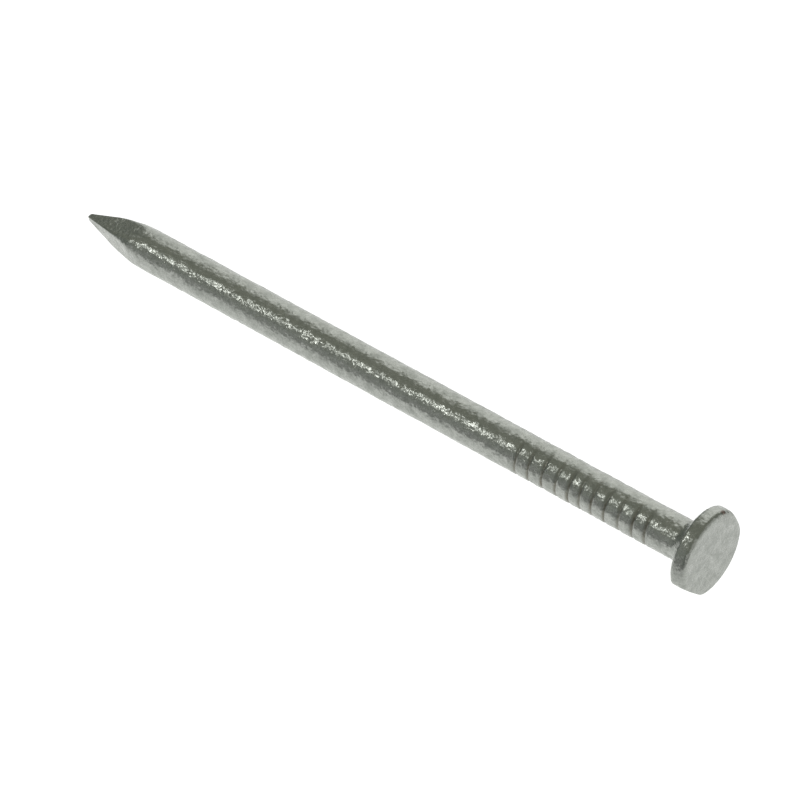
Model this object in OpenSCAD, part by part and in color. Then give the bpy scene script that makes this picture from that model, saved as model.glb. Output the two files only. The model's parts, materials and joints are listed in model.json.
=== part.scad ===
// Galvanised round wire nail, 50 x 2.65 mm, lying along X.
// The origin is the centre of the struck face of the head. The head is at +X and the point at -X.
// The bare steel is one length of wire with the head, the grip marks and the point forged into it.
// The zinc is a closed skin of even thickness all over the steel.

/* [Wire] */
// Nominal length, from the underside of the head to the tip of the point
length = 50; // [30:1:100]
// Diameter of the bare steel wire
wire_d = 2.65; // [2:0.05:4]
// Thickness of the zinc coating
zinc_t = 0.05; // [0.03:0.01:0.08]

/* [Head] */
// Diameter of the bare head
head_d = 5.9; // [5.6:0.1:9]
// Thickness of the bare head at its edge
head_t = 1.05; // [0.9:0.05:1.6]
// Radius of the edge round the struck face
face_edge_r = 0.3; // [0.1:0.05:0.35]
// Radius of the edge round the underside
under_edge_r = 0.3; // [0.1:0.05:0.35]
// Length of the cone between the underside and the shank
neck_len = 0.8; // [0.4:0.05:1.2]
// How far the cone stands out from the shank at the underside
neck_rise = 0.45; // [0.2:0.05:0.6]
// How far the upset head sits off the shank's axis, along Y
head_off_y = 0.28; // [0:0.02:0.4]
// How far the upset head sits off the shank's axis, along Z
head_off_z = -0.24; // [-0.4:0.02:0.2]
// Directions of the three flats on the head's edge, from +Y towards +Z; it rests on the second
flat_turns = [25, -90, -134]; // [-180:1:180]
// Depths of those flats
flat_depths = [0.27, 0.1, 0.4]; // [0.02:0.01:0.5]

/* [Grip marks] */
// Number of rings that the header's gripping dies leave below the head
grip_count = 11; // [3:1:16]
// Spacing of the rings
grip_pitch = 1; // [0.8:0.05:1.4]
// Distance from the underside of the head to the nearest ring
grip_start = 3.1; // [2:0.1:6]
// Depth of each ring at the middle of its die
grip_depth = 0.1; // [0.04:0.01:0.14]
// Width of each ring at the surface
grip_w = 0.34; // [0.2:0.02:0.5]
// How far the rings stray from even spacing
grip_stray = 0.1; // [0:0.01:0.12]

/* [Point] */
// Length of the four-sided point
point_len = 5.3; // [3:0.1:7]
// Width across the blunted tip
tip_w = 0.2; // [0.1:0.02:0.3]
// Distance from the tip to where the wire starts to narrow, which eases the edges between the facets
ease_len = 4.5; // [3:0.1:6]
// Angle of that narrowing
ease_angle = 9; // [5:0.5:12]
// Turn of the point's facets about the axis, in degrees
point_turn = 12; // [0:1:45]

/* [Hidden] */
$fn = 96;
wire_r = wire_d / 2;
head_r = head_d / 2;
// Places along the axis of the bare steel's face, underside and tip
face_x = -zinc_t;
under_x = face_x - head_t;
tip_x = under_x - length;
// Angle between a facet of the point and the axis
point_angle = atan((wire_r - tip_w / 2) / point_len);
// Die marks fade out towards the parting line, because each die's ring is centred this far off the axis
die_off = 1.25 * grip_depth;
// A size that reaches past the nail everywhere
past = head_d;

// Turns a profile drawn with radius along x and length along y into a solid of revolution about X
module about_axis() {
    rotate([0, 90, 0])
        rotate_extrude()
            children();
}

// The wire from inside the head to the tip, grown by g, narrowing towards the tip
module shank(g) {
    reach = length + head_t / 2 + g;
    end_r = wire_r + g / cos(ease_angle) - (ease_len + g) * tan(ease_angle);
    translate([tip_x - g, 0, 0])
        rotate([0, 90, 0])
            intersection() {
                cylinder(r = wire_r + g, h = reach);
                cylinder(r1 = end_r, r2 = end_r + reach * tan(ease_angle), h = reach);
            }
}

// Half section of the head: a disc with both edges rounded, grown by g
module head_section(g) {
    top_r = face_edge_r + g;
    low_r = under_edge_r + g;
    full_r = head_r + g;
    top_y = face_x + g;
    low_y = under_x - g;
    translate([0, low_y])
        square([full_r - low_r, top_y - low_y]);
    translate([0, low_y + low_r])
        square([full_r, top_y - low_y - low_r - top_r]);
    translate([0, low_y + low_r])
        square([full_r - top_r, top_y - low_y - low_r]);
    translate([full_r - top_r, top_y - top_r])
        circle(r = top_r);
    translate([full_r - low_r, low_y + low_r])
        circle(r = low_r);
}

// The upset head, a little off the axis, with its flats
module head(g) {
    translate([0, head_off_y, head_off_z])
        difference() {
            about_axis()
                head_section(g);
            for (i = [0 : len(flat_turns) - 1])
                rotate([flat_turns[i], 0, 0])
                    translate([-past / 2, head_r - flat_depths[i] + g, -past / 2])
                        cube([past, past, past]);
        }
}

// The cone that runs from the shank out to the underside, grown by g.
// Both of its ends lie inside the shank and the head.
module neck(g) {
    lean = atan(neck_rise / neck_len);
    side_r = wire_r + g / cos(lean);
    low = -neck_len / 4;
    high = neck_len * 1.4;
    translate([under_x - neck_len + low, 0, 0])
        rotate([0, 90, 0])
            cylinder(r1 = side_r + low * tan(lean), r2 = side_r + high * tan(lean), h = high - low);
}

// A ring-shaped cutter with a V edge, centred off the axis towards one die
module ring_cutter(x, side, g) {
    edge_r = wire_r - grip_depth + die_off + g;
    flank = grip_w / 2 / grip_depth;
    reach = 4 * grip_depth;
    translate([x, side * die_off, 0])
        about_axis()
            polygon([[edge_r, 0], [edge_r + reach, flank * reach], [edge_r + reach, -flank * reach]]);
}

// Place of ring i along the axis, counted from the head
function grip_x(i) = under_x - grip_start - i * grip_pitch + grip_stray * sin(60 * i + 50);

// The rings left by the two halves of the gripping die
module grip_marks(g) {
    for (i = [0 : grip_count - 1], side = [-1, 1])
        ring_cutter(grip_x(i), side, g);
}

// Four blocks whose inner sides are the facets of the point, grown by g
module point_cutters(g) {
    block = 2 * point_len;
    for (turn = [0 : 90 : 270])
        rotate([point_turn + turn, 0, 0])
            translate([tip_x, 0, tip_w / 2])
                rotate([0, -point_angle, 0])
                    translate([-block / 2, -block / 2, g])
                        cube([2 * block, block, block]);
}

// The whole nail, with every surface moved out by g from the bare steel
module nail_shape(g) {
    difference() {
        union() {
            shank(g);
            neck(g);
            head(g);
        }
        grip_marks(g);
        point_cutters(g);
    }
}

// One length of steel wire with its forged head and cut point
module steel_nail() {
    color("dimgray")
        nail_shape(0);
}

// The closed zinc skin
module galvanised_coating() {
    color("silver")
        difference() {
            nail_shape(zinc_t);
            nail_shape(0);
        }
}

steel_nail();
galvanised_coating();
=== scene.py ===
"""Galvanised round wire nail, lying on a pale floor.

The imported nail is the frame: the steel stays as it is, and the zinc skin is rebuilt over it with the lumps,
die marks and soft edges of a real hot-dipped coating. Lengths are in metres, and the nail lies along X with
its head at +X and the middle of its struck face at the origin.
"""

import json
from math import atan, cos, pi, radians, sin, tan

import bpy
import numpy as np
from bpy.props import FloatProperty, FloatVectorProperty, IntProperty, PointerProperty
from bpy.types import Operator, Panel, PropertyGroup
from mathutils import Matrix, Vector, noise


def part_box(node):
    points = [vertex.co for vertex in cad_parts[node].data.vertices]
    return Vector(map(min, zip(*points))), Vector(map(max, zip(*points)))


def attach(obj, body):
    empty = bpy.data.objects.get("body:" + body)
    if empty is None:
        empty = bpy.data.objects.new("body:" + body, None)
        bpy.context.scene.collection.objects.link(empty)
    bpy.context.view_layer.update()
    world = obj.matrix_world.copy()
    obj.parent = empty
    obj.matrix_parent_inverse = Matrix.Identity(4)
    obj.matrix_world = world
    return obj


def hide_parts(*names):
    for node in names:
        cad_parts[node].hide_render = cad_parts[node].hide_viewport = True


bl_info = {
    "name": "Galvanised wire nail",
    "version": (1, 0, 0),
    "blender": (4, 5, 0),
    "location": "3D View > Sidebar > Nail",
    "description": "Builds a lumpy zinc skin over a packed nail, finishes its metals and sets up a studio",
    "category": "Object",
}

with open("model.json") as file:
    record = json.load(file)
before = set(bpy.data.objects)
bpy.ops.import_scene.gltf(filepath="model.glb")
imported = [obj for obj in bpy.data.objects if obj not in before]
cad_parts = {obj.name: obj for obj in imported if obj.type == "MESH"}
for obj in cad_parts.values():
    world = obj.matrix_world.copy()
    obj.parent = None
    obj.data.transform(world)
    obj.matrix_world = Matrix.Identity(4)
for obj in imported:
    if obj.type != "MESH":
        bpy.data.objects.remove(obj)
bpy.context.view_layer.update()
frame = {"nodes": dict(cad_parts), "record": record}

MM = 0.001
MOUNTS = {mount["name"]: mount for mount in frame["record"]["mounts"]}
SKIN_LOW, SKIN_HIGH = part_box("galvanised_coating")
STEEL_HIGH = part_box("steel_nail")[1]

# The zinc's thickness, and the coated nail's main places and radii
COAT = SKIN_HIGH.x - STEEL_HIGH.x
TIP_X = SKIN_LOW.x
FACE_X = SKIN_HIGH.x
UNDER_X = MOUNTS["head_underside"]["pos_m"][0]
SHANK_R = MOUNTS["shank"]["dims"]["r_mm"] * MM
HEAD_R = (SKIN_HIGH.y - SKIN_LOW.y) / 2
HEAD_Y = (SKIN_HIGH.y + SKIN_LOW.y) / 2
HEAD_Z = SKIN_HIGH.z - HEAD_R

# How crisp the edges of the point's facets and of the head's flats are, and the least cosine they are cut at
FACET_CRISPNESS = 36
FLAT_CRISPNESS = 60
LEAST_COSINE = 0.05

# How much of its radius the zinc rounds off the tip, and the radius of the bend from the shank into the neck
TIP_ROUNDING = 0.8
NECK_BEND = 1.2 * MM

# How far each half die is off the axis, in ring depths. The rings' depths vary about a share of the full one,
# as a sine that turns by the last value, in radians, from ring to ring.
DIE_OFFSET = 0.95
RING_SHARE = 0.86
RING_CHANGE = 2.4

# A hollow's mark is full where the cut is deeper than the ring depth divided by this
HOLLOW_GAIN = 1.3

# Points in a rounded corner, and the finer share of the mesh step that the rings, head and tip have
ARC_POINTS = 12
FINE_SHARE = 0.7

# The zinc's relief: the sizes of small lumps and long waves as multiples of the lump size, then the shares of
# large lumps, small lumps and waves in the height, and the level that they lie about
SMALL_LUMP = 0.45
LONG_WAVE = 3.2
LUMP_SHARE = 0.62
SMALL_SHARE = 0.28
WAVE_SHARE = 0.35
RELIEF_LEVEL = 0.28

# The lowest and highest relief, and how much of it the struck face and the tip lose
RELIEF_FLOOR = -0.35
RELIEF_TOP = 1.2
FACE_LOSS = 0.72
TIP_LOSS = 0.75

# Where the rust is: how far in from the head's outline and how far behind the face
RUST_IN = 0.04 * MM
RUST_BACK = 0.15 * MM

# Where the dark card in front has faded out, as a share of its reach
CARD_FADE = 0.16

# What the metal mirrors, in parts of a unit direction: where each thing starts and where it is full.
# The backdrop's two ends and the wall's start lie along X, and the others are heights.
BACKDROP_ENDS = ((0.18, -0.22), (-0.78, -0.58))
BACKDROP_EDGE = (0.6, -0.6)
ROOM_HEIGHT = (0.0, 0.8)
WALL_START = (0.42, 0.62)
WALL_TOP = (0.65, 0.35)

WHITE = (1.0, 1.0, 1.0)


# Sizes and colours

class NailSizes(PropertyGroup):
    """The shape that the wire drawing, heading and galvanising left."""

    point_length: FloatProperty(
        name="Point length", description="From the steel's tip to the far end of the point's facets",
        default=5.3 * MM, min=0.0, unit="LENGTH", subtype="DISTANCE")
    tip_width: FloatProperty(
        name="Tip width", description="Width across the blunted steel tip",
        default=0.2 * MM, min=0.0, unit="LENGTH", subtype="DISTANCE")
    point_turn: FloatProperty(
        name="Point turn", description="Turn of the point's facets about the shank",
        default=radians(12), unit="ROTATION", subtype="ANGLE")
    ease_length: FloatProperty(
        name="Ease length", description="From the steel's tip to where the wire starts to narrow",
        default=4.5 * MM, unit="LENGTH", subtype="DISTANCE")
    ease_angle: FloatProperty(
        name="Ease angle", description="Angle of that narrowing",
        default=radians(9), unit="ROTATION", subtype="ANGLE")
    ring_count: IntProperty(
        name="Grip rings", description="Rings left under the head by the gripping dies", default=11, min=0)
    ring_pitch: FloatProperty(
        name="Ring spacing", description="Distance between two rings",
        default=1.0 * MM, unit="LENGTH", subtype="DISTANCE")
    ring_start: FloatProperty(
        name="First ring", description="From the steel's underside to the nearest ring",
        default=3.1 * MM, unit="LENGTH", subtype="DISTANCE")
    ring_stray: FloatProperty(
        name="Ring stray", description="How far the rings stray from even spacing",
        default=0.1 * MM, unit="LENGTH", subtype="DISTANCE")
    ring_depth: FloatProperty(
        name="Ring depth", description="Depth of a ring at the middle of its die",
        default=0.105 * MM, unit="LENGTH", subtype="DISTANCE")
    ring_width: FloatProperty(
        name="Ring width", description="Width of a ring at the surface",
        default=0.36 * MM, unit="LENGTH", subtype="DISTANCE")
    far_ring_share: FloatProperty(
        name="Far rings", description="How deep the far die's rings are, as a share of the near die's",
        default=0.3, min=0.0, max=1.0)
    neck_length: FloatProperty(
        name="Neck length", description="Length of the steel cone under the head",
        default=0.8 * MM, unit="LENGTH", subtype="DISTANCE")
    neck_rise: FloatProperty(
        name="Neck rise", description="How far that cone stands out from the shank at the underside",
        default=0.45 * MM, unit="LENGTH", subtype="DISTANCE")
    neck_blend: FloatProperty(
        name="Neck blend", description="Radius of the zinc that fills the corner under the head",
        default=0.35 * MM, unit="LENGTH", subtype="DISTANCE")
    flat_turns: FloatVectorProperty(
        name="Flat turns", description="Directions of the flats on the head's edge, from +Y towards +Z",
        default=(radians(25), radians(-90), radians(-134)), size=3, unit="ROTATION", subtype="EULER")
    flat_depths: FloatVectorProperty(
        name="Flat depths", description="Depths of those flats",
        default=(0.27 * MM, 0.04 * MM, 0.4 * MM), size=3, unit="LENGTH", subtype="XYZ_LENGTH")
    face_edge: FloatProperty(
        name="Face edge", description="Radius of the coated edge round the struck face",
        default=0.35 * MM, unit="LENGTH", subtype="DISTANCE")
    under_edge: FloatProperty(
        name="Underside edge", description="Radius of the coated edge round the underside",
        default=0.35 * MM, unit="LENGTH", subtype="DISTANCE")
    mesh_step: FloatProperty(
        name="Mesh step", description="Distance between two points of the skin",
        default=0.09 * MM, min=0.02 * MM, unit="LENGTH", subtype="DISTANCE")
    sides: IntProperty(
        name="Sides", description="Points round the nail", default=140, min=24)


class ZincLook(PropertyGroup):
    """The galvanised finish."""

    light: FloatVectorProperty(
        name="Light zinc", description="Colour of the zinc's light patches",
        default=(0.385, 0.40, 0.37), size=3, min=0.0, max=1.0, subtype="COLOR")
    dark: FloatVectorProperty(
        name="Dark zinc", description="Colour of the zinc's dark patches",
        default=(0.25, 0.265, 0.24), size=3, min=0.0, max=1.0, subtype="COLOR")
    # This colour darkens the rings and hollows: partly real settled deposits, partly painted shade in the
    # recesses
    grime_and_shade: FloatVectorProperty(
        name="Grime", description="Colour of what has settled in the rings and hollows",
        default=(0.12, 0.11, 0.08), size=3, min=0.0, max=1.0, subtype="COLOR")
    rust: FloatVectorProperty(
        name="Rust", description="Colour of the small rust spot on the head's edge",
        default=(0.13, 0.055, 0.02), size=3, min=0.0, max=1.0, subtype="COLOR")
    rust_turn: FloatProperty(
        name="Rust turn", description="Where the rust spot is on the head's edge, from +Y towards +Z",
        default=radians(68), unit="ROTATION", subtype="ANGLE")
    rust_size: FloatProperty(
        name="Rust size", description="Radius of the rust spot",
        default=0.17 * MM, unit="LENGTH", subtype="DISTANCE")
    patch_size: FloatProperty(
        name="Patch size", description="Width of the light and dark patches",
        default=0.6 * MM, unit="LENGTH", subtype="DISTANCE")
    lump_size: FloatProperty(
        name="Lump size", description="Distance between two lumps of zinc",
        default=0.38 * MM, unit="LENGTH", subtype="DISTANCE")
    lump_height: FloatProperty(
        name="Lump height", description="Height of the lumps on the shank",
        default=0.04 * MM, unit="LENGTH", subtype="DISTANCE")
    pit_size: FloatProperty(
        name="Pit size", description="Size of the fine grain in the colour",
        default=0.12 * MM, unit="LENGTH", subtype="DISTANCE")
    crystal_size: FloatProperty(
        name="Crystal size", description="Width of one crystal of zinc",
        default=0.25 * MM, unit="LENGTH", subtype="DISTANCE")
    crystal_tilt: FloatProperty(
        name="Crystal tilt", description="How far the crystals lean from the surface, as a slope",
        default=0.12, min=0.0)
    relief_size: FloatProperty(
        name="Relief size", description="Width of the soft bumps that are finer than the lumps",
        default=0.2 * MM, unit="LENGTH", subtype="DISTANCE")
    relief_height: FloatProperty(
        name="Relief height", description="Height of those bumps",
        default=0.03 * MM, unit="LENGTH", subtype="DISTANCE")
    roughness: FloatProperty(
        name="Roughness", description="Roughness of clean zinc", default=0.26, min=0.0, max=1.0)


class SteelLook(PropertyGroup):
    """The drawn wire under the zinc."""

    light: FloatVectorProperty(
        name="Bright steel", description="Colour of the bright drawing lines",
        default=(0.52, 0.52, 0.53), size=3, min=0.0, max=1.0, subtype="COLOR")
    dark: FloatVectorProperty(
        name="Dull steel", description="Colour between the drawing lines",
        default=(0.33, 0.33, 0.34), size=3, min=0.0, max=1.0, subtype="COLOR")
    line_size: FloatProperty(
        name="Drawing lines", description="Width of the lines left by the drawing die",
        default=0.06 * MM, unit="LENGTH", subtype="DISTANCE")
    line_squeeze: FloatProperty(
        name="Line squeeze", description="Factor on places along the wire, which draws grain out into lines",
        default=0.02, min=0.0, max=1.0)
    stain_size: FloatProperty(
        name="Stain size", description="Width of the duller stains",
        default=1.8 * MM, unit="LENGTH", subtype="DISTANCE")


class StudioLook(PropertyGroup):
    """Floor, lights and camera."""

    tooth_size: FloatProperty(
        name="Tooth size", description="Width of the floor's faint tooth",
        default=1.2 * MM, unit="LENGTH", subtype="DISTANCE")
    floor_width: FloatProperty(
        name="Floor width", description="Width of the square floor",
        default=6.0, unit="LENGTH", subtype="DISTANCE")
    floor: FloatVectorProperty(
        name="Floor", description="Colour of the floor",
        default=(0.93, 0.93, 0.92), size=3, min=0.0, max=1.0, subtype="COLOR")
    floor_glow: FloatProperty(
        name="Floor glow", description="Light that comes up through the board, which keeps the shadow faint",
        default=0.98, min=0.0)
    card_reach: FloatProperty(
        name="Card reach", description="Where the board is no longer mirrored, in front of the nail",
        default=19.0 * MM, unit="LENGTH", subtype="DISTANCE")
    room: FloatVectorProperty(
        name="Room", description="Colour of the upper part of the dim room that the metal mirrors",
        default=(0.36, 0.37, 0.315), size=3, min=0.0, max=1.0, subtype="COLOR")
    room_low: FloatVectorProperty(
        name="Lower room", description="Colour of that room near the floor",
        default=(0.15, 0.175, 0.16), size=3, min=0.0, max=1.0, subtype="COLOR")
    backdrop: FloatVectorProperty(
        name="Backdrop", description="Colour of the white backdrop behind the nail",
        default=(1.0, 1.0, 0.98), size=3, min=0.0, max=1.0, subtype="COLOR")
    backdrop_power: FloatProperty(
        name="Backdrop power", description="Brightness of that backdrop",
        default=1.38, min=0.0)
    backdrop_rise: FloatProperty(
        name="Backdrop rise", description="How high the white backdrop reaches behind the nail",
        default=radians(66), unit="ROTATION", subtype="ANGLE")
    camera_turn: FloatProperty(
        name="Camera turn", description="Camera's place round the nail, from the front towards the head",
        default=radians(39.84), unit="ROTATION", subtype="ANGLE")
    camera_rise: FloatProperty(
        name="Camera rise", description="Camera's height above the nail's axis",
        default=radians(41.05), unit="ROTATION", subtype="ANGLE")
    camera_distance: FloatProperty(
        name="Camera distance", description="From the camera to the middle of the nail",
        default=342.0 * MM, unit="LENGTH", subtype="DISTANCE")
    aim_right: FloatProperty(
        name="Aim right", description="How far right of the nail's middle the camera looks",
        default=0.73 * MM, unit="LENGTH", subtype="DISTANCE")
    aim_down: FloatProperty(
        name="Aim down", description="How far below the nail's middle the camera looks",
        default=1.29 * MM, unit="LENGTH", subtype="DISTANCE")
    lens: FloatProperty(
        name="Lens", description="Focal length for a 36 mm sensor, in millimetres", default=242.9, min=1.0)
    lamp_watts: FloatProperty(
        name="Small lamp", description="Power of the lamp that makes the sparkle", default=0.25, unit="POWER")
    lamp_width: FloatProperty(
        name="Small lamp width", description="Width of that lamp",
        default=110.0 * MM, unit="LENGTH", subtype="DISTANCE")
    lamp_distance: FloatProperty(
        name="Small lamp distance", description="From that lamp to the middle of the nail",
        default=600.0 * MM, unit="LENGTH", subtype="DISTANCE")
    lamp_turn: FloatProperty(
        name="Small lamp turn", description="Where that lamp is, from the front towards the head",
        default=radians(-41), unit="ROTATION", subtype="ANGLE")
    lamp_rise: FloatProperty(
        name="Small lamp rise", description="That lamp's height above the nail's axis",
        default=radians(41), unit="ROTATION", subtype="ANGLE")
    top_watts: FloatProperty(
        name="Soft top light", description="Power of the large light over the floor",
        default=0.3, unit="POWER")
    top_width: FloatProperty(
        name="Soft top width", description="Width of that light, and its distance from the nail",
        default=900.0 * MM, unit="LENGTH", subtype="DISTANCE")
    top_turn: FloatProperty(
        name="Soft top turn", description="Where that light is, from the front towards the head",
        default=radians(-20), unit="ROTATION", subtype="ANGLE")
    top_rise: FloatProperty(
        name="Soft top rise", description="That light's height above the nail's axis",
        default=radians(80), unit="ROTATION", subtype="ANGLE")
    fill: FloatVectorProperty(
        name="Fill", description="Colour of the faint light that falls on everything",
        default=(0.16, 0.16, 0.16), size=3, min=0.0, max=1.0, subtype="COLOR")
    wall: FloatVectorProperty(
        name="Wall", description="Colour of the pale wall past the head, as the metal mirrors it",
        default=(0.8, 0.8, 0.78), size=3, min=0.0, max=1.0, subtype="COLOR")


# Skin shape

def ring_places(sizes):
    """Where the grip rings are along X, counted from the head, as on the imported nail."""
    first = UNDER_X + COAT - sizes.ring_start
    return [
        first - i * sizes.ring_pitch + sizes.ring_stray * sin(radians(60 * i + 50))
        for i in range(sizes.ring_count)
    ]


def rounded(corners, step):
    """Points (x, r) along straight stretches between corners, each given as (x, r, rounding radius)."""
    line = [np.array(corners[0][:2])]
    for before, here, after in zip(corners, corners[1:], corners[2:]):
        corner = np.array(here[:2])
        back = np.array(before[:2]) - corner
        ahead = np.array(after[:2]) - corner
        back = back / np.linalg.norm(back)
        ahead = ahead / np.linalg.norm(ahead)
        half = 0.5 * np.arccos(np.clip(back @ ahead, -1, 1))
        reach = here[2] / tan(half)
        centre = corner + (back + ahead) / np.linalg.norm(back + ahead) * here[2] / sin(half)
        start = np.arctan2(*(corner + back * reach - centre)[::-1])
        sweep = np.arctan2(*(corner + ahead * reach - centre)[::-1]) - start
        sweep = (sweep + pi) % (2 * pi) - pi
        turns = start + sweep * np.linspace(0, 1, ARC_POINTS)
        line += [centre + here[2] * np.array([cos(turn), sin(turn)]) for turn in turns]
    line.append(np.array(corners[-1][:2]))
    dense = [line[0]]
    for start, end in zip(line, line[1:]):
        count = max(1, int(np.linalg.norm(end - start) / step))
        dense += [start + (end - start) * share for share in np.linspace(0, 1, count + 1)[1:]]
    return np.array(dense)


def evenly(line, gaps):
    """Points along a line, spaced by the gap wanted at each place."""
    lengths = np.linalg.norm(np.diff(line, axis=0), axis=1)
    count = np.concatenate([[0.0], np.cumsum(lengths / (0.5 * (gaps[1:] + gaps[:-1])))])
    wanted = np.linspace(0, count[-1], int(count[-1]) + 1)
    return np.stack([np.interp(wanted, count, line[:, 0]), np.interp(wanted, count, line[:, 1])], axis=1)


def half_section(sizes):
    """The coated nail's half section from the tip to the middle of the face, as points (x, r)."""
    lean = atan(sizes.neck_rise / sizes.neck_length)
    under_r = SHANK_R + sizes.neck_rise - COAT * tan(lean) + COAT * (1 / cos(lean) - 1)
    neck_start = UNDER_X - (under_r - SHANK_R) / tan(lean)
    line = rounded([
        (TIP_X, SHANK_R, 0.0),
        (neck_start, SHANK_R, NECK_BEND),
        (UNDER_X, under_r, sizes.neck_blend),
        (UNDER_X, HEAD_R, sizes.under_edge),
        (FACE_X, HEAD_R, sizes.face_edge),
        (FACE_X, 0.0, 0.0),
    ], 0.3 * sizes.mesh_step)
    rings = ring_places(sizes)
    marked = (line[:, 0] > rings[-1] - sizes.ring_width) & (line[:, 0] < rings[0] + sizes.ring_width)
    fine = marked | (line[:, 0] > neck_start) | (line[:, 0] < TIP_X + sizes.tip_width)
    return evenly(line, np.where(fine, FINE_SHARE, 1.0) * sizes.mesh_step)


def least(values, crispness):
    """A smooth least of several arrays: the higher the crispness, the sharper the edge where two meet."""
    total = sum(np.power(value / SHANK_R, -crispness) for value in values)
    return SHANK_R * np.power(total, -1.0 / crispness)


def point_radius(sizes, x, turn):
    """Radius of the four-sided point at each place x and angle turn."""
    along = x - (TIP_X + COAT)
    slope = (SHANK_R - COAT - sizes.tip_width / 2) / sizes.point_length
    flat = sizes.tip_width / 2 + along * slope + COAT / cos(atan(slope))
    narrow = COAT * (1 / cos(sizes.ease_angle) - 1) + (along - sizes.ease_length) * tan(sizes.ease_angle)
    limits = [SHANK_R + narrow, np.full_like(x, SHANK_R)]
    for k in range(4):
        across = np.cos(turn - (pi / 2 + sizes.point_turn + k * pi / 2))
        limits.append(flat / np.maximum(across, LEAST_COSINE))
    # The zinc rounds off the tip itself
    blunt = np.clip((x - TIP_X) / sizes.tip_width, 0, 1)
    return least(limits, FACET_CRISPNESS) * np.sqrt(1 - TIP_ROUNDING * (1 - blunt) ** 2)


def ring_cut(sizes, x, turn):
    """Depth that the grip rings take off the shank at each place x and angle turn.

    Each half die is centred a little off the axis, so its rings fade towards the parting line. Zinc has
    nearly filled the far die's rings.
    """
    off = DIE_OFFSET * sizes.ring_depth
    bottom = SHANK_R - sizes.ring_depth + off
    across = np.abs(np.cos(turn))
    floor = np.sqrt(bottom ** 2 - (off * np.sin(turn)) ** 2) - off * across
    full = np.maximum(SHANK_R - floor, 0.0) * np.where(np.cos(turn) > 0, sizes.far_ring_share, 1.0)
    cut = np.zeros_like(x)
    for index, place in enumerate(ring_places(sizes)):
        inside = np.clip(1 - np.abs(x - place) * 2 / sizes.ring_width, 0, 1)
        share = RING_SHARE + (1 - RING_SHARE) * sin(RING_CHANGE * index)
        cut = np.maximum(cut, full * share * inside ** 2 * (3 - 2 * inside))
    return cut


def head_outline(sizes, radius, turn):
    """The head's radius at each place and angle, with its flats cut into it."""
    limits = [radius]
    for flat_turn, depth in zip(sizes.flat_turns, sizes.flat_depths):
        limits.append((HEAD_R - depth) / np.maximum(np.cos(turn - flat_turn), LEAST_COSINE))
    return least(limits, FLAT_CRISPNESS)


def lumps(points, size, seed):
    """Rounded lumps of zinc, 0 in the seams between them and up to 1 on their tops, at each point."""
    shift = Vector((seed * 7.1, seed * 3.3, seed * 5.7))
    found = []
    for point in points:
        place = Vector(point) / size + shift
        near, cells = noise.voronoi(place, distance_metric="DISTANCE_SQUARED")
        tall = 0.55 + 0.45 * noise.cell(cells[0] * 9.7 + shift)
        found.append(tall * max(0.0, 1.0 - near[0] / 0.75))
    return np.array(found)


def swell(points, size, seed):
    """Smooth noise from -1 to 1 at each point."""
    shift = Vector((seed * 4.3, seed * 9.1, seed * 2.9))
    return np.array([noise.noise(Vector(point) / size + shift) for point in points])


def grid_normals(grid):
    """Outward normals of a grid of points, rings by sides, closed round the nail."""
    along = np.gradient(grid, axis=0)
    around = np.roll(grid, -1, axis=1) - np.roll(grid, 1, axis=1)
    normals = np.cross(around, along)
    lengths = np.linalg.norm(normals, axis=2, keepdims=True)
    return normals / np.maximum(lengths, 1e-12)


def skin_points(sizes, zinc):
    """The skin's points as rings by sides, and how deep each lies in a grip ring, from 0 to 1."""
    section = half_section(sizes)[:-1]
    turns = np.linspace(0, 2 * pi, sizes.sides, endpoint=False)
    x, turn = np.meshgrid(section[:, 0], turns, indexing="ij")
    radius = np.repeat(section[:, 1:2], sizes.sides, axis=1)

    # The head's share is 0 on the shank and neck, and 1 from the underside's edge to the face
    rim_r = HEAD_R - sizes.under_edge
    neck_r = SHANK_R + sizes.neck_rise
    share = np.clip((section[:, 1] - neck_r) / (rim_r - neck_r), 0, 1)
    share[int(np.argmax(section[:, 1])):] = 1.0
    share = np.repeat(share[:, None], sizes.sides, axis=1)

    cut = ring_cut(sizes, x, turn)
    shank = np.minimum(point_radius(sizes, x, turn), radius) - cut
    radius = np.where(x < UNDER_X - 2 * sizes.neck_length, shank, head_outline(sizes, radius, turn))
    grid = np.stack([
        x,
        share * HEAD_Y + radius * np.cos(turn),
        share * HEAD_Z + radius * np.sin(turn),
    ], axis=2)

    flat = grid.reshape(-1, 3)
    pebbles = lumps(flat, zinc.lump_size, 1).reshape(x.shape)
    small = lumps(flat, SMALL_LUMP * zinc.lump_size, 2).reshape(x.shape)
    waves = swell(flat, LONG_WAVE * zinc.lump_size, 3).reshape(x.shape)
    rise = LUMP_SHARE * pebbles + SMALL_SHARE * small + WAVE_SHARE * waves - RELIEF_LEVEL
    on_face = np.clip((x - (FACE_X - sizes.face_edge)) / sizes.face_edge, 0, 1)
    on_point = np.clip(1 - (x - TIP_X) / sizes.point_length, 0, 1) ** 0.5
    kept = 1 - FACE_LOSS * on_face - TIP_LOSS * on_point
    rise = np.clip(rise, RELIEF_FLOOR, RELIEF_TOP) * zinc.lump_height * kept
    grid = grid + grid_normals(grid) * rise[:, :, None]
    hollow = np.clip(cut / sizes.ring_depth * HOLLOW_GAIN, 0, 1)
    return grid, hollow


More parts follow.
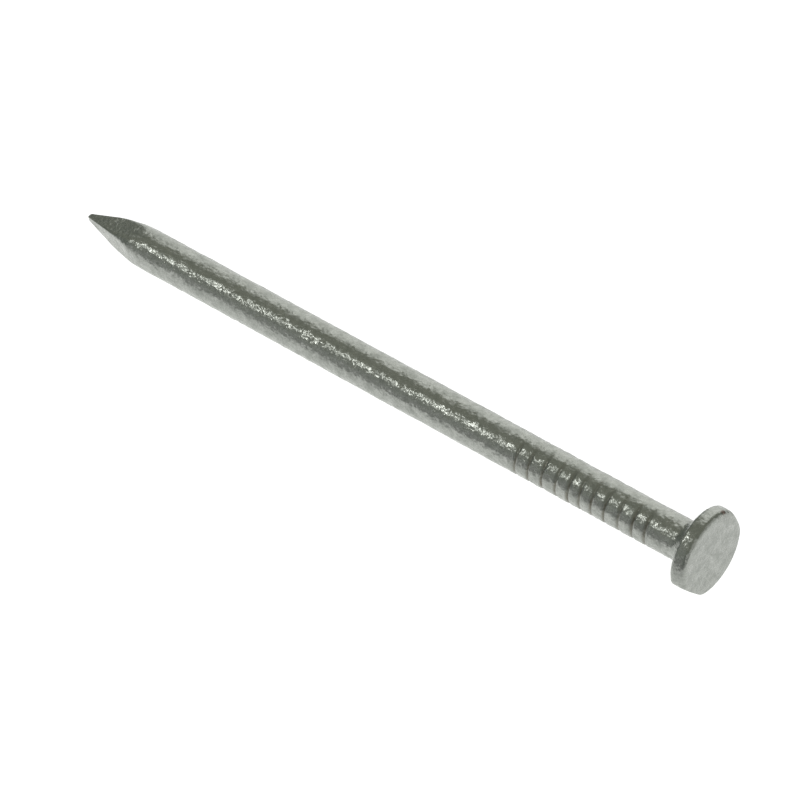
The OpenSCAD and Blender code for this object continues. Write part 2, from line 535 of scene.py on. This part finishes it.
def skin_mesh(sizes, zinc):
    """The closed mesh of the zinc skin, with its hollows marked."""
    grid, hollow = skin_points(sizes, zinc)
    rings, sides = hollow.shape
    tip = grid[0].mean(axis=0) - np.array([0.3 * COAT, 0, 0])
    middle = grid[-1].mean(axis=0)
    points = np.vstack([grid.reshape(-1, 3), tip, middle])
    at = np.arange(rings * sides).reshape(rings, sides)
    ahead = np.roll(at, -1, axis=1)
    quads = np.stack([at[:-1], at[1:], ahead[1:], ahead[:-1]], axis=2).reshape(-1, 4)
    tip_at = rings * sides
    faces = [tuple(quad) for quad in quads[:, ::-1].tolist()]
    faces += [(tip_at, int(b), int(a)) for a, b in zip(at[0], ahead[0])]
    faces += [(tip_at + 1, int(a), int(b)) for a, b in zip(at[-1], ahead[-1])]

    mesh = bpy.data.meshes.new("zinc_skin")
    mesh.from_pydata(points.tolist(), [], faces)
    mesh.validate()
    marks = mesh.attributes.new("hollow", "FLOAT", "POINT")
    marks.data.foreach_set("value", np.append(hollow.ravel(), [0.0, 0.0]).astype(np.float32))
    mesh.shade_smooth()
    return mesh


# Materials

def add(tree, kind, place, **settings):
    """A new shader node at a place in the tree, with its settings."""
    made = tree.nodes.new(kind)
    made.location = (place[0] * 200, place[1] * 180)
    for name, value in settings.items():
        setattr(made, name, value)
    return made


def mottle_group():
    """Node group: patchy noise of a given size, as a mask from 0 to 1."""
    group = bpy.data.node_groups.new("Mottle", "ShaderNodeTree")
    face = group.interface
    face.new_socket("Vector", in_out="INPUT", socket_type="NodeSocketVector")
    size = face.new_socket("Size", in_out="INPUT", socket_type="NodeSocketFloat")
    size.default_value = 1.0
    rough = face.new_socket("Raggedness", in_out="INPUT", socket_type="NodeSocketFloat")
    rough.default_value = 0.5
    detail = face.new_socket("Detail", in_out="INPUT", socket_type="NodeSocketFloat")
    detail.default_value = 4.0
    bite = face.new_socket("Contrast", in_out="INPUT", socket_type="NodeSocketFloat")
    bite.default_value = 1.0
    face.new_socket("Mask", in_out="OUTPUT", socket_type="NodeSocketFloat")
    face.new_socket("Height", in_out="OUTPUT", socket_type="NodeSocketFloat")

    entry = add(group, "NodeGroupInput", (0, 0))
    leave = add(group, "NodeGroupOutput", (6, 0))
    scale = add(group, "ShaderNodeMath", (1, 1), operation="DIVIDE")
    scale.inputs[0].default_value = 1.0
    texture = add(group, "ShaderNodeTexNoise", (2, 0), noise_dimensions="3D")
    centre = add(group, "ShaderNodeMath", (3, 1), operation="SUBTRACT")
    centre.inputs[1].default_value = 0.5
    gain = add(group, "ShaderNodeMath", (4, 1), operation="MULTIPLY")
    lift = add(group, "ShaderNodeMath", (5, 1), operation="ADD", use_clamp=True)
    lift.inputs[1].default_value = 0.5
    join = group.links.new
    join(entry.outputs["Size"], scale.inputs[1])
    join(entry.outputs["Vector"], texture.inputs["Vector"])
    join(scale.outputs[0], texture.inputs["Scale"])
    join(entry.outputs["Raggedness"], texture.inputs["Roughness"])
    join(entry.outputs["Detail"], texture.inputs["Detail"])
    join(texture.outputs["Fac"], centre.inputs[0])
    join(centre.outputs[0], gain.inputs[0])
    join(entry.outputs["Contrast"], gain.inputs[1])
    join(gain.outputs[0], lift.inputs[0])
    join(lift.outputs[0], leave.inputs["Mask"])
    join(texture.outputs["Fac"], leave.inputs["Height"])
    return group


def mottle(tree, group, vector, place, size, raggedness, contrast, detail=4.0):
    """One use of the mottle group in a material."""
    made = add(tree, "ShaderNodeGroup", place, node_tree=group)
    made.inputs["Size"].default_value = size
    made.inputs["Raggedness"].default_value = raggedness
    made.inputs["Contrast"].default_value = contrast
    made.inputs["Detail"].default_value = detail
    tree.links.new(vector, made.inputs["Vector"])
    return made


def blank_material(name):
    """A new material with an empty tree, its shader and its object coordinates."""
    material = bpy.data.materials.new(name)
    material.use_nodes = True
    tree = material.node_tree
    tree.nodes.clear()
    end = add(tree, "ShaderNodeOutputMaterial", (9, 0))
    shader = add(tree, "ShaderNodeBsdfPrincipled", (8, 0))
    tree.links.new(shader.outputs["BSDF"], end.inputs["Surface"])
    where = add(tree, "ShaderNodeTexCoord", (-1, 0))
    return material, tree, shader, where.outputs["Object"]


def blend_colour(tree, place, share, first, second):
    """Mixes two colours by a share. Each is a socket or a plain colour."""
    made = add(tree, "ShaderNodeMix", place, data_type="RGBA")
    for index, colour in ((6, first), (7, second)):
        if isinstance(colour, bpy.types.NodeSocket):
            tree.links.new(colour, made.inputs[index])
        else:
            made.inputs[index].default_value = (*colour, 1.0)
    tree.links.new(share, made.inputs[0])
    return made.outputs[2]


def spread(tree, place, value, low, high):
    """Maps a value from 0..1 to low..high."""
    made = add(tree, "ShaderNodeMapRange", place)
    made.inputs["To Min"].default_value = low
    made.inputs["To Max"].default_value = high
    tree.links.new(value, made.inputs["Value"])
    return made.outputs["Result"]


def fade(tree, place, value, ends, full=1.0):
    """Maps a value smoothly to 0 at the first of two ends and to full at the second."""
    made = add(tree, "ShaderNodeMapRange", place, interpolation_type="SMOOTHSTEP")
    made.inputs["From Min"].default_value = ends[0]
    made.inputs["From Max"].default_value = ends[1]
    made.inputs["To Max"].default_value = full
    tree.links.new(value, made.inputs["Value"])
    return made.outputs["Result"]


def arithmetic(tree, place, operation, first, second, clamp=False):
    """A math node on two values, each a socket or a number."""
    made = add(tree, "ShaderNodeMath", place, operation=operation, use_clamp=clamp)
    for index, value in enumerate((first, second)):
        if isinstance(value, bpy.types.NodeSocket):
            tree.links.new(value, made.inputs[index])
        else:
            made.inputs[index].default_value = value
    return made.outputs[0]


def bump(tree, place, height, shader, strength, distance, normal=None):
    """Fine relief on a shader, over the normals given."""
    made = add(tree, "ShaderNodeBump", place)
    made.inputs["Strength"].default_value = strength
    made.inputs["Distance"].default_value = distance
    if normal is not None:
        tree.links.new(normal, made.inputs["Normal"])
    tree.links.new(height, made.inputs["Height"])
    tree.links.new(made.outputs["Normal"], shader.inputs["Normal"])


def crystal_normals(tree, where, zinc):
    """The surface's normals, leaning a little differently on each crystal of the zinc."""
    crystals = add(tree, "ShaderNodeTexVoronoi", (4, -2))
    crystals.inputs["Scale"].default_value = 1 / zinc.crystal_size
    tree.links.new(where, crystals.inputs["Vector"])
    lean = add(tree, "ShaderNodeVectorMath", (5, -2), operation="SUBTRACT")
    lean.inputs[1].default_value = (0.5, 0.5, 0.5)
    tree.links.new(crystals.outputs["Color"], lean.inputs[0])
    surface = add(tree, "ShaderNodeNewGeometry", (5, -3))
    sum_up = add(tree, "ShaderNodeVectorMath", (6, -2), operation="MULTIPLY_ADD")
    sum_up.inputs[1].default_value = (zinc.crystal_tilt,) * 3
    tree.links.new(lean.outputs[0], sum_up.inputs[0])
    tree.links.new(surface.outputs["Normal"], sum_up.inputs[2])
    unit = add(tree, "ShaderNodeVectorMath", (7, -2), operation="NORMALIZE")
    tree.links.new(sum_up.outputs[0], unit.inputs[0])
    return unit.outputs[0]


def zinc_material(zinc, group):
    """Dull grey galvanised zinc, mottled and fine-grained, darkened in the rings partly by real deposits and
    partly as painted shade, with rust on the head.
    """
    material, tree, shader, where = blank_material("galvanised_zinc")
    patches = mottle(tree, group, where, (1, 3), zinc.patch_size, raggedness=0.65, contrast=3.6)
    grain = mottle(tree, group, where, (1, 1), zinc.pit_size, raggedness=0.65, contrast=4.0)
    broad = arithmetic(tree, (2, 3), "MULTIPLY", patches.outputs["Mask"], 0.6)
    fine = arithmetic(tree, (2, 1), "MULTIPLY", grain.outputs["Mask"], 0.4)
    both = arithmetic(tree, (3, 4), "ADD", broad, fine)
    clean = blend_colour(tree, (3, 2), both, zinc.dark, zinc.light)

    # The rings and hollows are darkened towards the grime colour: partly real deposits, partly painted shade
    # in the recesses
    hollow = add(tree, "ShaderNodeAttribute", (1, 5), attribute_name="hollow")
    dirt_and_shade = arithmetic(tree, (3, 5), "MULTIPLY", hollow.outputs["Fac"],
                      spread(tree, (2, 5), patches.outputs["Mask"], 0.45, 0.95))
    with_dirt_and_shade = blend_colour(tree, (4, 3), dirt_and_shade, clean, zinc.grime_and_shade)

    reach = HEAD_R - RUST_IN
    spot = Vector((
        FACE_X - RUST_BACK, HEAD_Y + reach * cos(zinc.rust_turn), HEAD_Z + reach * sin(zinc.rust_turn)))
    away = add(tree, "ShaderNodeVectorMath", (1, 7), operation="DISTANCE")
    away.inputs[1].default_value = spot
    tree.links.new(where, away.inputs[0])
    ragged = arithmetic(tree, (2, 7), "ADD", away.outputs["Value"],
                        spread(tree, (2, 8), grain.outputs["Mask"], -0.06 * MM, 0.08 * MM))
    rusty = fade(tree, (3, 7), ragged, (1.4 * zinc.rust_size, 0.6 * zinc.rust_size), full=0.9)
    colour = blend_colour(tree, (5, 3), rusty, with_dirt_and_shade, zinc.rust)
    tree.links.new(colour, shader.inputs["Base Color"])

    worn = spread(tree, (4, 1), both, zinc.roughness + 0.1, zinc.roughness - 0.06)
    dull = arithmetic(tree, (5, 1), "ADD", worn, arithmetic(tree, (5, 5), "MULTIPLY", dirt_and_shade, 0.2), clamp=True)
    tree.links.new(dull, shader.inputs["Roughness"])
    crust = arithmetic(tree, (5, 7), "MULTIPLY", rusty, 0.8)
    metal = arithmetic(tree, (6, 5), "SUBTRACT", 0.92, crust, clamp=True)
    tree.links.new(metal, shader.inputs["Metallic"])
    relief = mottle(tree, group, where, (1, -1), zinc.relief_size, raggedness=0.45, contrast=1.0, detail=1.0)
    leaning = crystal_normals(tree, where, zinc)
    bump(tree, (8, -1), relief.outputs["Height"], shader, 1.0, zinc.relief_height, normal=leaning)
    return material


def steel_material(steel, group):
    """Bright drawn wire, with fine lines along its length."""
    material, tree, shader, where = blank_material("drawn_steel")
    stretch = add(tree, "ShaderNodeVectorMath", (0, 1), operation="MULTIPLY")
    stretch.inputs[1].default_value = (steel.line_squeeze, 1.0, 1.0)
    tree.links.new(where, stretch.inputs[0])
    lines = mottle(tree, group, stretch.outputs[0], (1, 1), steel.line_size, raggedness=0.6, contrast=2.4)
    stains = mottle(tree, group, where, (1, 3), steel.stain_size, raggedness=0.55, contrast=1.8)
    share = arithmetic(tree, (2, 2), "MULTIPLY", lines.outputs["Mask"],
                       spread(tree, (2, 3), stains.outputs["Mask"], 0.6, 1.0))
    tree.links.new(blend_colour(tree, (3, 2), share, steel.dark, steel.light), shader.inputs["Base Color"])
    tree.links.new(spread(tree, (3, 1), lines.outputs["Mask"], 0.42, 0.28), shader.inputs["Roughness"])
    shader.inputs["Metallic"].default_value = 1.0
    bump(tree, (7, -1), lines.outputs["Height"], shader, 0.3, 0.01 * MM)
    return material


def floor_material(studio, group):
    """Plain pale board with a very faint tooth."""
    material, tree, shader, where = blank_material("pale_floor")
    tooth = mottle(tree, group, where, (1, 1), studio.tooth_size, raggedness=0.5, contrast=1.0)
    paler = tuple(min(1.0, 1.01 * part) for part in studio.floor)
    tree.links.new(
        blend_colour(tree, (3, 1), tooth.outputs["Mask"], studio.floor, paler), shader.inputs["Base Color"])
    shader.inputs["Roughness"].default_value = 0.85
    shader.inputs["Specular IOR Level"].default_value = 0.2
    # The metal mirrors the board less and less towards the front, as if a dark card lay there
    parts = add(tree, "ShaderNodeSeparateXYZ", (3, -2))
    tree.links.new(where, parts.inputs[0])
    card = (-studio.card_reach, -CARD_FADE * studio.card_reach)
    mirrored = fade(tree, (4, -2), parts.outputs["Y"], card, full=studio.floor_glow)
    rays = add(tree, "ShaderNodeLightPath", (4, -4))
    glow = add(tree, "ShaderNodeMix", (5, -2))
    glow.inputs["A"].default_value = studio.floor_glow
    tree.links.new(rays.outputs["Is Glossy Ray"], glow.inputs["Factor"])
    tree.links.new(mirrored, glow.inputs["B"])
    tree.links.new(glow.outputs["Result"], shader.inputs["Emission Strength"])
    shader.inputs["Emission Color"].default_value = (*WHITE, 1.0)
    return material


def shared_mottle():
    """The mottle group, made once."""
    return bpy.data.node_groups.get("Mottle") or mottle_group()


# Studio

def link_object(name, data):
    """A new object in the scene."""
    made = bpy.data.objects.new(name, data)
    bpy.context.scene.collection.objects.link(made)
    return made


def floor_slope(skin):
    """Height and slope along X of the floor that touches the head's edge and the shank near its point."""
    points = np.array([vertex.co for vertex in skin.data.vertices])
    head = points[np.argmin(points[:, 2])]
    rest = points[points[:, 0] < UNDER_X - 2 * SHANK_R]
    slope = np.max((rest[:, 2] - head[2]) / (rest[:, 0] - head[0]))
    return float(head[2] - slope * head[0]), float(slope)


def make_floor(studio, skin):
    """A wide floor on which the nail rests on its head's edge and its shank."""
    height, slope = floor_slope(skin)
    half = studio.floor_width / 2
    outline = ((-half, -half), (half, -half), (half, half), (-half, half))
    corners = [(x, y, height + slope * x) for x, y in outline]
    mesh = bpy.data.meshes.new("floor")
    mesh.from_pydata(corners, [], [(0, 1, 2, 3)])
    mesh.materials.append(floor_material(studio, shared_mottle()))
    floor = link_object("floor", mesh)
    return floor


def direction(turn, rise):
    """Unit vector towards a place round the nail: turn from the front towards the head, rise above level."""
    return Vector((sin(turn) * cos(rise), -cos(turn) * cos(rise), sin(rise)))


def make_lamp(name, place, towards, width, watts, in_mirror):
    """A round area light at a place, shining back along the direction it lies in."""
    data = bpy.data.lights.new(name, "AREA")
    data.shape = "DISK"
    data.size = width
    data.energy = watts
    lamp = link_object(name, data)
    lamp.location = place
    lamp.rotation_mode = "QUATERNION"
    lamp.rotation_quaternion = towards.to_track_quat("Z", "Y")
    lamp.visible_glossy = in_mirror
    return lamp


def mirrored_room(tree, studio):
    """What the metal mirrors: a dim room, a backdrop low behind the nail and a pale wall past its head."""
    where = add(tree, "ShaderNodeTexCoord", (0, 0))
    parts = add(tree, "ShaderNodeSeparateXYZ", (1, 0))
    tree.links.new(where.outputs["Generated"], parts.inputs[0])
    along, back, height = (parts.outputs[axis] for axis in "XYZ")

    # Height over the backdrop's top edge, which is straight because the backdrop is flat
    edge = arithmetic(tree, (2, 0), "MULTIPLY", back, tan(studio.backdrop_rise))
    over = arithmetic(tree, (3, 0), "SUBTRACT", height, arithmetic(tree, (3, 1), "MAXIMUM", edge, 0.0))
    share = fade(tree, (4, 0), over, BACKDROP_EDGE)
    for row, ends in enumerate(BACKDROP_ENDS):
        end = fade(tree, (4, -1 - row), along, ends)
        share = arithmetic(tree, (5, -1 - row), "MULTIPLY", share, end)

    room = blend_colour(tree, (5, 1), fade(tree, (4, 1), height, ROOM_HEIGHT), studio.room_low, studio.room)
    wall = fade(tree, (4, 3), along, WALL_START)
    low = fade(tree, (4, 4), height, WALL_TOP)
    walled = blend_colour(tree, (6, 1), arithmetic(tree, (5, 3), "MULTIPLY", wall, low), room, studio.wall)
    backdrop = tuple(studio.backdrop_power * part for part in studio.backdrop)
    return blend_colour(tree, (7, 0), share, walled, backdrop)


def make_world(studio):
    """Surroundings: white to the camera, faint as a light, and a room to the metal that mirrors them."""
    world = bpy.data.worlds.new("studio")
    bpy.context.scene.world = world
    world.use_nodes = True
    tree = world.node_tree
    tree.nodes.clear()
    end = add(tree, "ShaderNodeOutputWorld", (11, 0))
    light = add(tree, "ShaderNodeBackground", (10, 0))
    rays = add(tree, "ShaderNodeLightPath", (7, 2))
    mirrored = mirrored_room(tree, studio)
    unseen = blend_colour(tree, (8, 0), rays.outputs["Is Glossy Ray"], studio.fill, mirrored)
    shown = blend_colour(tree, (9, 0), rays.outputs["Is Camera Ray"], unseen, WHITE)
    tree.links.new(shown, light.inputs["Color"])
    tree.links.new(light.outputs[0], end.inputs["Surface"])


def make_camera(studio):
    """The camera, aimed a little past the middle of the nail towards its head, and a little below it."""
    data = bpy.data.cameras.new("camera")
    data.lens = studio.lens
    data.sensor_width = 36.0
    data.clip_start = 0.01
    data.clip_end = 20.0
    camera = link_object("camera", data)
    back = direction(studio.camera_turn, studio.camera_rise)
    middle = Vector((TIP_X / 2, 0, 0))
    right = Vector((cos(studio.camera_turn), sin(studio.camera_turn), 0))
    up = back.cross(right)
    aim = middle + studio.aim_right * right - studio.aim_down * up
    camera.location = middle + back * studio.camera_distance
    camera.rotation_mode = "QUATERNION"
    camera.rotation_quaternion = (camera.location - aim).to_track_quat("Z", "Y")
    bpy.context.scene.camera = camera


# Operators

class NAIL_OT_zinc_skin(Operator):
    """Build the lumpy zinc skin over the steel"""

    bl_idname = "nail.zinc_skin"
    bl_label = "Zinc skin"

    def execute(self, context):
        scene = context.scene
        skin = link_object("zinc_skin", skin_mesh(scene.nail_sizes, scene.nail_zinc))
        skin.data.materials.append(zinc_material(scene.nail_zinc, shared_mottle()))
        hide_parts("galvanised_coating")
        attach(skin, "root")
        return {"FINISHED"}


class NAIL_OT_steel(Operator):
    """Give the steel nail under the zinc its drawn finish"""

    bl_idname = "nail.steel"
    bl_label = "Steel nail"

    def execute(self, context):
        steel = frame["nodes"]["steel_nail"]
        steel.data.materials.clear()
        steel.data.materials.append(steel_material(context.scene.nail_steel, shared_mottle()))
        return {"FINISHED"}


class NAIL_OT_studio(Operator):
    """Set up the floor, the lights and the camera"""

    bl_idname = "nail.studio"
    bl_label = "Studio"

    def execute(self, context):
        scene = context.scene
        studio = scene.nail_studio
        skin = bpy.data.objects.get("zinc_skin")
        if skin is None:
            raise RuntimeError("make the zinc skin first: the floor is laid under it")
        make_floor(studio, skin)
        make_world(studio)
        middle = Vector((TIP_X / 2, 0, 0))
        above = direction(studio.top_turn, studio.top_rise)
        place = middle + studio.top_width * above
        make_lamp("soft_top", place, above, studio.top_width, studio.top_watts, False)
        aside = direction(studio.lamp_turn, studio.lamp_rise)
        place = middle + studio.lamp_distance * aside
        make_lamp("small_lamp", place, aside, studio.lamp_width, studio.lamp_watts, True)
        make_camera(studio)
        scene.view_settings.view_transform = "Standard"
        return {"FINISHED"}


class NAIL_PT_panel(Panel):
    """The nail's tools"""

    bl_idname = "NAIL_PT_panel"
    bl_label = "Nail"
    bl_space_type = "VIEW_3D"
    bl_region_type = "UI"
    bl_category = "Nail"

    def draw(self, context):
        for operator in OPERATORS:
            self.layout.operator(operator.bl_idname)
        for group in GROUPS:
            box = self.layout.box()
            settings = getattr(context.scene, group)
            for name in settings.bl_rna.properties.keys():
                if name not in {"rna_type", "name"}:
                    box.prop(settings, name)


GROUPS = {
    "nail_sizes": NailSizes,
    "nail_zinc": ZincLook,
    "nail_steel": SteelLook,
    "nail_studio": StudioLook,
}
OPERATORS = (NAIL_OT_zinc_skin, NAIL_OT_steel, NAIL_OT_studio)


def register():
    """Adds the classes and the scene's settings."""
    for cls in (*GROUPS.values(), *OPERATORS, NAIL_PT_panel):
        bpy.utils.register_class(cls)
    for name, cls in GROUPS.items():
        setattr(bpy.types.Scene, name, PointerProperty(type=cls))


def unregister():
    """Takes them away again."""
    for name in GROUPS:
        delattr(bpy.types.Scene, name)
    for cls in (NAIL_PT_panel, *reversed(OPERATORS), *reversed(list(GROUPS.values()))):
        bpy.utils.unregister_class(cls)


def main():
    """Builds everything."""
    register()
    bpy.ops.nail.zinc_skin()
    bpy.ops.nail.steel()
    bpy.ops.nail.studio()


if __name__ == "__main__":
    main()
